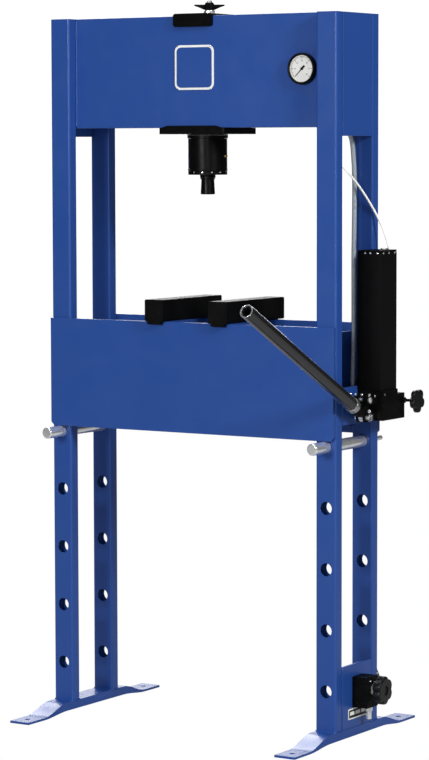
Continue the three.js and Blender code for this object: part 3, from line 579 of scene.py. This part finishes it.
def badge():
    """A blue field inside the plate's pale border, and a rivet near each corner."""
    low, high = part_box("badge_plate")
    centre = ((low.x + high.x) / 2, low.y, (low.z + high.z) / 2)
    width, height = (high.x - low.x) / MM, (high.z - low.z) / MM
    panel(
        "badge_inset", centre, (1, 0, 0), (0, 0, 1), (width - 11, height - 11), 12, 0.5,
        "frame", "frame_paint",
    )
    rivet_x, rivet_z = (width / 2 - 9.6) * MM, (height / 2 - 3.6) * MM
    places = [
        (centre[0] + sx * rivet_x, low.y, centre[2] + sz * rivet_z) for sx in (-1, 1) for sz in (-1, 1)
    ]
    screws("badge_rivets", places, (0, -1, 0), "frame", "zinc_plate", 1.7, 1.1, socket=False)


def rating_fields():
    """A dark field with three blank pale blocks on it."""
    low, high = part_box("rating_plate")
    centre = Vector((high.x, (low.y + high.y) / 2, (low.z + high.z) / 2))
    width, height = (high.y - low.y) / MM, (high.z - low.z) / MM
    panel(
        "rating_field", centre, (0, 1, 0), (0, 0, 1), (width - 7, height - 7), 1.5, 0.25,
        "frame", "enamel", ink,
    )
    for i, (offset, length) in enumerate(((-27, 22), (1, 24), (29, 20))):
        at = centre + Vector((0.25, offset, 1.0)) * MM
        panel(
            f"rating_blank_{i + 1}", at, (0, 1, 0), (0, 0, 1), (length, 9), 0.8, 0.2, "frame", "enamel",
        )


# ---------------------------------------------------------------- gauge


def dial():
    """The middle of the dial's face and its radius in mm."""
    low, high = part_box("gauge_dial")
    centre = Vector(((low.x + high.x) / 2, low.y, (low.z + high.z) / 2))
    return centre, (high.x - low.x) / 2 / MM


dial_centre, dial_radius = dial()


def on_dial(degrees, radius, lift):
    """A point in front of the dial, at an angle anticlockwise from the top."""
    angle = math.radians(degrees)
    return dial_centre + Vector((-radius * math.sin(angle), -lift, radius * math.cos(angle))) * MM


def scale_mark(bm, degrees, inner, outer, half):
    """A flat radial mark, as wide at its inner end as at its outer end."""
    quad = []
    for r, side in ((inner, -1), (outer, -1), (outer, 1), (inner, 1)):
        quad.append(bm.verts.new(on_dial(degrees + side * math.degrees(half / r), r, SCALE_LIFT)))
    bm.faces.new(quad)


def gauge_scale():
    """Thirty divisions over three quarters of a turn, every fifth one long, along a thin arc."""
    rim = dial_radius - 3.4
    bm = bmesh.new()
    divisions = 30
    for i in range(divisions + 1):
        degrees = DIAL_START - DIAL_SWEEP * i / divisions
        if i % 5 == 0:
            scale_mark(bm, degrees, dial_radius - 9, rim, 0.55)
        else:
            scale_mark(bm, degrees, dial_radius - 6.2, rim, 0.26)
    pieces = 90
    rings = []
    for r in (rim, dial_radius - 2.8):
        angles = [DIAL_START - DIAL_SWEEP * k / pieces for k in range(pieces + 1)]
        rings.append([bm.verts.new(on_dial(degrees, r, SCALE_LIFT)) for degrees in angles])
    for k in range(pieces):
        bm.faces.new((rings[0][k], rings[0][k + 1], rings[1][k + 1], rings[1][k]))
    add_piece("gauge_scale", to_mesh(bm, "gauge_scale"), "frame", "enamel", ink, smooth=False)


def gauge_numbers():
    """The numbers 0 to 60, one beside each long division."""
    for i in range(7):
        text = bpy.data.curves.new(f"gauge_number_{i}", "FONT")
        text.body = str(i * 10)
        text.size = 5.2 * MM
        text.align_x = "CENTER"
        text.align_y = "CENTER"
        text.extrude = 0.02 * MM
        obj = bpy.data.objects.new(f"gauge_number_{i}", text)
        bpy.context.scene.collection.objects.link(obj)
        obj.location = on_dial(DIAL_START - DIAL_SWEEP * i / 6, dial_radius - 13.5, 0.1)
        obj.rotation_euler = (math.pi / 2, 0, 0)
        text.materials.append(ink)
        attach(obj, "frame")


def gauge_rings():
    """The white wall between the dial and the lens, and the raised ring on the case's front."""
    wall = ring_profile(dial_radius - 1.1, dial_radius - 0.1, -2.55, -0.12)
    turned("gauge_liner", wall, dial_centre, (0, 1, 0), "frame", "enamel", 48)
    low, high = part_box("gauge_case")
    inner, flange = dial_radius + 0.6, (high.x - low.x) / 2 / MM
    bezel = [
        (inner, -0.6), (inner + 1.6, -0.9), (flange - 2.2, -0.9), (flange - 0.2, 0.9),
        (flange - 0.2, 1.4), (inner, 1.4), (inner, -0.6),
    ]
    front = Vector((dial_centre.x, low.y, dial_centre.z))
    turned("gauge_bezel", bezel, front, (0, 1, 0), "frame", "black_paint", 56)


# ---------------------------------------------------------------- pump


def tank_details():
    """Screws round the tank's top edge, and the weld round its foot."""
    low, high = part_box("oil_tank")
    lid_z = high.z - 3 * MM
    front = [(low.x + f * (high.x - low.x), low.y, lid_z) for f in (0.33, 0.55, 0.84)]
    screws("tank_front_screws", front, (0, -1, 0), "frame", "zinc_plate", 2.3, 1.2)
    side = [(high.x, low.y + f * (high.y - low.y), lid_z) for f in (0.14, 0.5, 0.86)]
    screws("tank_side_screws", side, (1, 0, 0), "frame", "zinc_plate", 2.3, 1.2)
    y = low.y + 0.5 * MM
    seam = [(low.x + 4 * MM, y, low.z), (high.x, y, low.z), (high.x, high.y, low.z)]
    bead("tank_weld", [seam], 1.5, "frame", "black_paint")


def block_details():
    """Cap screws and plugs on the front and the right side of the pump's casting."""
    low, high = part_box("pump_block")
    cap_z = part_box("oil_tank")[0].z - 7.5 * MM
    caps = [(high.x - dx * MM, low.y, cap_z) for dx in (62, 47.5, 30, 8.5)]
    screws("block_front_screws", caps, (0, -1, 0), "frame", "zinc_plate", 3.0, 2.0)
    plugs = [(high.x - 8.5 * MM, low.y, low.z + 28 * MM)]
    screws("block_plug", plugs, (0, -1, 0), "frame", "zinc_plate", 4.2, 2.2)
    side = [(high.x, low.y + dy * MM, cap_z - 3 * MM) for dy in (12, 62)]
    screws("block_side_screws", side, (1, 0, 0), "frame", "bare_steel", 3.0, 1.6)
    plug = [(0, 0), (9, 0), (9, 3.5), (7.6, 4.6), (0, 4.6)]
    for name, dy, dz in (("low", 30, 17), ("high", 55, 39)):
        at = Vector((high.x, low.y, low.z)) + Vector((0, dy, dz)) * MM
        turned(f"check_valve_plug_{name}", plug, at, (1, 0, 0), "frame", "cast_black", 6)


def handle_ends():
    """The middles of the handle's lower and upper end faces, and the direction between them."""
    low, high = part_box("pump_handle")
    radius = (high.x - low.x) / 2
    x = (low.x + high.x) / 2
    axis = Vector((0, -math.cos(HANDLE_TILT), math.sin(HANDLE_TILT)))
    across = Vector((0, -math.sin(HANDLE_TILT), math.cos(HANDLE_TILT))) * radius
    lower = Vector((x, high.y, low.z)) + across
    upper = Vector((x, low.y, high.z)) - across
    return lower, upper, axis


def lever_details():
    """The handle's liner and rim, the socket's collar with its screw, and the fulcrum pin's clip."""
    lower, upper, axis = handle_ends()
    socket_end = lower - axis * 4 * MM
    liner = ring_profile(13.0, 13.9, -26, -0.8)
    turned("handle_end_liner", liner, upper, axis, "lever", "bare_steel", 40)
    rim = [(13.9, -0.4), (16.0, -0.4), (16.6, 0.1), (16.0, 0.6), (14.4, 0.6), (13.9, 0.2), (13.9, -0.4)]
    turned("handle_end_rim", rim, upper, axis, "lever", "zinc_plate", 40)
    collar = [(13.9, -8), (18.0, -8), (18.6, -7.2), (18.6, 7.2), (18.0, 8), (13.9, 8)]
    turned("handle_socket_collar", collar, socket_end, axis, "lever", "bare_steel", 40)
    upward = Vector((0, math.sin(HANDLE_TILT), math.cos(HANDLE_TILT)))
    low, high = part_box("pump_handle")
    top = socket_end + upward * (high.x - low.x) / 2 * 0.86
    screws("handle_clamp_screw", [top], upward, "lever", "zinc_plate", 4.6, 4.4)
    pin_low, pin_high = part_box("fulcrum_pin")
    centre = Vector((pin_high.x, (pin_low.y + pin_high.y) / 2, (pin_low.z + pin_high.z) / 2))
    clip = [(0, 0), (5.2, 0), (5.2, 0.8), (3.6, 1.4), (0, 1.4)]
    turned("fulcrum_pin_clip", clip, centre, (1, 0, 0), "frame", "zinc_plate", 20)


# ---------------------------------------------------------------- cylinder


def middle_of(name):
    """The middle of a node's box, seen from above, and half its width in mm."""
    low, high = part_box(name)
    return (low.x + high.x) / 2, (low.y + high.y) / 2, (high.x - low.x) / 2 / MM


def gland_pins():
    """Twelve short bright pins round the foot of the barrel."""
    x, y, _ = middle_of("gland_nut")
    radius = middle_of("cylinder_barrel")[2] - 4.8
    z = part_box("cylinder_barrel")[0].z - 2.8 * MM
    pin = [(0, 0), (2.4, 0), (2.4, 2.4), (1.8, 3.0), (0, 3.0)]
    bm = bmesh.new()
    for i in range(12):
        a = (i + 0.5) / 12 * 2 * math.pi
        out = Vector((math.cos(a), math.sin(a), 0))
        lathe_into(bm, pin, Vector((x, y, z)) + out * radius * MM, out, 14)
    obj = add_piece("gland_slot_pins", to_mesh(bm, "gland_slot_pins"), "carriage", "zinc_plate")
    finish_edges(obj, 0.15)


def cylinder_rings():
    """A raised band round the barrel's foot and a thin bright edge round the collar's top."""
    x, y, _ = middle_of("gland_nut")
    barrel = middle_of("cylinder_barrel")[2]
    inner, outer = barrel + 0.05, barrel + 0.75
    band = [(inner, 0.4), (outer, 1.1), (outer, 5), (inner, 5.7), (inner, 0.4)]
    foot = (x, y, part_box("cylinder_barrel")[0].z + 0.5 * MM)
    turned("barrel_band", band, foot, (0, 0, 1), "carriage", "black_paint", 56)
    r = middle_of("cylinder_collar")[2]
    edge = [(r - 1, 0.3), (r + 0.3, 0.3), (r + 0.9, 0.9), (r + 0.3, 1.5), (r - 1, 1.5), (r - 1, 0.3)]
    top = (x, y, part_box("cylinder_collar")[1].z - 2.8 * MM)
    turned("collar_edge", edge, top, (0, 0, 1), "carriage", "bare_steel", 56)


def nose_collar():
    """The loose black ring that sits on the ram's nose and hides the rod while the ram is up."""
    x, y, _ = middle_of("ram_nose")
    bore = middle_of("piston_rod")[2] + 0.15
    outer = bore + 3.5
    nose_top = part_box("ram_nose")[1].z
    height = (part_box("gland_nut")[0].z - nose_top) / MM - 0.4
    profile = [
        (bore, 0.1), (outer - 0.3, 0.1), (outer, 0.5), (outer, height - 0.4), (outer - 0.3, height),
        (bore, height), (bore, 0.1),
    ]
    turned("nose_collar", profile, (x, y, nose_top), (0, 0, 1), "ram", "black_paint", 40)


# ---------------------------------------------------------------- floor valve and hoses


def valve_details():
    """A nut behind the floor valve's knob, cover screws on its front and a small peg on its side."""
    low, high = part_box("floor_valve_body")
    knob_low, knob_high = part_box("floor_valve_knob")
    y, z = (knob_low.y + knob_high.y) / 2, (knob_low.z + knob_high.z) / 2
    nut = [(11.4, 0.2), (16, 0.2), (17, 1.2), (17, 6.5), (16, 7.5), (11.4, 7.5), (11.4, 0.2)]
    turned("valve_gland_nut", nut, (high.x, y, z), (1, 0, 0), "frame", "zinc_plate", 6)
    columns = (low.x + 10 * MM, high.x - 10 * MM)
    rows = (low.z + 12 * MM, high.z - 12 * MM)
    places = [(x, low.y, row) for x in columns for row in rows]
    screws("valve_screws", places, (0, -1, 0), "frame", "cast_black", 4.0, 2.6)
    peg = [(0, 0), (2.2, 0), (2.2, 5), (1.6, 7.5), (0, 7.8)]
    at = (high.x - 4 * MM, low.y + 12 * MM, high.z - 10 * MM)
    turned("valve_pointer", peg, at, (1, 0, 0), "frame", "zinc_plate", 16)


def ferrule(name, at, axis, body):
    """A crimped sleeve: three pinched bands between a plain collar at each end."""
    inner, outer, waist, length = 6.7, 9.2, 8.3, 26
    profile = [(inner, 0), (outer - 0.6, 0), (outer, 0.8)]
    bands = 3
    pitch = (length - 4) / bands
    for i in range(bands):
        start = 2 + i * pitch
        profile += [(outer, start), (waist, start + 0.3 * pitch)]
        profile += [(waist, start + 0.7 * pitch), (outer, start + pitch)]
    profile += [(outer - 0.6, length), (inner, length), (inner, 0)]
    turned(name, profile, at, axis, body, "bare_steel", 28)


def end_of(name, axis, side):
    """The middle of a node's face that lies furthest along an axis (side +1 or -1)."""
    points = [vertex.co for vertex in nodes[name].data.vertices]
    furthest = max(side * point[axis] for point in points)
    face = [point for point in points if side * point[axis] > furthest - 0.1 * MM]
    return sum(face, Vector()) / len(face)


def hose_details():
    """Crimped sleeves on the pressure hose's ends and hexagon fittings on the thinner lines."""
    ferrule("pressure_hose_ferrule", end_of("pressure_hose", 2, -1), (0, 0, 1), "frame")
    ferrule("inlet_hose_ferrule", end_of("cylinder_inlet", 0, 1), (1, 0, 0), "carriage")
    fitting = [(3.5, 0.2), (8, 0.2), (8, 8), (6, 10), (3.5, 18), (3.5, 0.2)]
    line_end = end_of("gauge_line", 2, -1)
    turned("gauge_line_fitting", fitting, line_end, (0, 0, 1), "frame", "bare_steel", 6)
    drain = [(6.3, 0.2), (10, 0.2), (10, 9), (8.4, 10), (8.4, 14), (6.3, 14), (6.3, 0.2)]
    low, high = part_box("pump_block")
    at = ((low.x + high.x) / 2, high.y, low.z + 16 * MM)
    turned("return_hose_fitting", drain, at, (0, 1, 0), "frame", "bare_steel", 6)


def pressure_hose():
    """The pressure hose as one joined mesh, copied from its node, which is then hidden."""
    mesh = nodes["pressure_hose"].data.copy()
    mesh.materials.clear()
    obj = bpy.data.objects.new("pressure_hose_flex", mesh)
    bpy.context.scene.collection.objects.link(obj)
    mesh.materials.append(looks["hose_cover"])
    bm = bmesh.new()
    bm.from_mesh(mesh)
    bmesh.ops.remove_doubles(bm, verts=bm.verts, dist=0.02 * MM)
    bm.to_mesh(mesh)
    bm.free()
    for polygon in mesh.polygons:
        polygon.use_smooth = True
    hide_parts("pressure_hose")
    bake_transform(obj)


weld_frame()
badge()
rating_fields()
gauge_scale()
gauge_numbers()
gauge_rings()
tank_details()
block_details()
lever_details()
gland_pins()
cylinder_rings()
nose_collar()
valve_details()
hose_details()
pressure_hose()


# ---------------------------------------------------------------- stage, light and camera


def floor_look():
    """White to the camera, and a soft grey in the reflections and the bounced light."""
    mat, mat_nodes, links = new_material("floor")
    grey = mat_nodes["Principled BSDF"]
    grey.inputs["Roughness"].default_value = 0.9
    grey.inputs["Specular IOR Level"].default_value = 0.1
    grey.inputs["Base Color"].default_value = (0.36, 0.36, 0.36, 1)
    white = mat_nodes.new("ShaderNodeEmission")
    rays = mat_nodes.new("ShaderNodeLightPath")
    mix = mat_nodes.new("ShaderNodeMixShader")
    links.new(rays.outputs["Is Camera Ray"], mix.inputs[0])
    links.new(grey.outputs[0], mix.inputs[1])
    links.new(white.outputs[0], mix.inputs[2])
    links.new(mix.outputs[0], mat_nodes["Material Output"].inputs["Surface"])
    return mat


def add_floor():
    mesh = bpy.data.meshes.new("floor")
    bm = bmesh.new()
    half_width = 30
    bmesh.ops.create_grid(bm, x_segments=1, y_segments=1, size=half_width)
    bm.to_mesh(mesh)
    bm.free()
    obj = bpy.data.objects.new("floor", mesh)
    bpy.context.scene.collection.objects.link(obj)
    mesh.materials.append(floor_look())


def look_at(position, target):
    """The placement of a light at one point, facing another."""
    direction = Vector(target) - Vector(position)
    turn = direction.to_track_quat("-Z", "Y").to_matrix().to_4x4()
    return Matrix.Translation(Vector(position)) @ turn


def area_light(name, position, target, size, power):
    """A rectangular light that the camera doesn't see."""
    data = bpy.data.lights.new(name, "AREA")
    data.shape = "RECTANGLE"
    data.size, data.size_y = size
    data.energy = power
    obj = bpy.data.objects.new(name, data)
    obj.matrix_world = look_at(position, target)
    bpy.context.scene.collection.objects.link(obj)
    obj.visible_camera = False


def light_world():
    """White to the camera, dim in the reflections, and a soft fill for everything else."""
    world = bpy.data.worlds.new("studio")
    bpy.context.scene.world = world
    world.use_nodes = True
    tree = world.node_tree
    rays = tree.nodes.new("ShaderNodeLightPath")
    unseen = ramp(tree, rays.outputs["Is Glossy Ray"], 0, 1, 0.20, 0.06)
    seen = ramp(tree, rays.outputs["Is Camera Ray"], 0, 1, 0, 1.05)
    strength = tree.nodes.new("ShaderNodeMath")
    strength.operation = "MAXIMUM"
    tree.links.new(unseen, strength.inputs[0])
    tree.links.new(seen, strength.inputs[1])
    background = tree.nodes["Background"]
    background.inputs["Color"].default_value = (1, 1, 1, 1)
    tree.links.new(strength.outputs[0], background.inputs["Strength"])


def add_camera(position, ahead, roll, lens):
    """A level camera at a point, looking along a direction, then rolled by a small angle."""
    data = bpy.data.cameras.new("camera")
    data.lens = lens
    data.sensor_width = 36
    data.clip_end = 100
    camera = bpy.data.objects.new("camera", data)
    ahead = Vector(ahead).normalized()
    level = ahead.cross(Vector((0, 0, 1))).normalized()
    upward = level.cross(ahead)
    right = level * math.cos(roll) + upward * math.sin(roll)
    upward = upward * math.cos(roll) - level * math.sin(roll)
    turn = Matrix((right, upward, -ahead)).transposed().to_4x4()
    camera.matrix_world = Matrix.Translation(Vector(position)) @ turn
    bpy.context.scene.collection.objects.link(camera)
    bpy.context.scene.camera = camera


add_floor()
area_light("key", (-0.3, -7.2, 2.5), (0, 0, 1.0), (1.6, 1.6), 268)
area_light("right_fill", (6.2, -1.8, 4.0), (0, 0, 0.9), (1.4, 1.4), 370)
area_light("overhead", (0.2, -0.6, 4.8), (0, 0, 0), (4.0, 4.0), 58)
area_light("rear_softbox", (-2.7, 3.0, 3.4), (0.1, 0, 0), (2.6, 2.6), 200)
area_light("edge_strip", (3.4, -5.6, 1.6), (0, 0, 1.0), (0.2, 3.0), 40)
area_light("far_card", (-2.9, 4.8, 0.8), (0, 0, 0.3), (4.4, 1.5), 50)

light_world()
bpy.context.scene.view_settings.view_transform = "Standard"
add_camera(CAMERA_AT, CAMERA_AHEAD, CAMERA_ROLL, CAMERA_LENS)
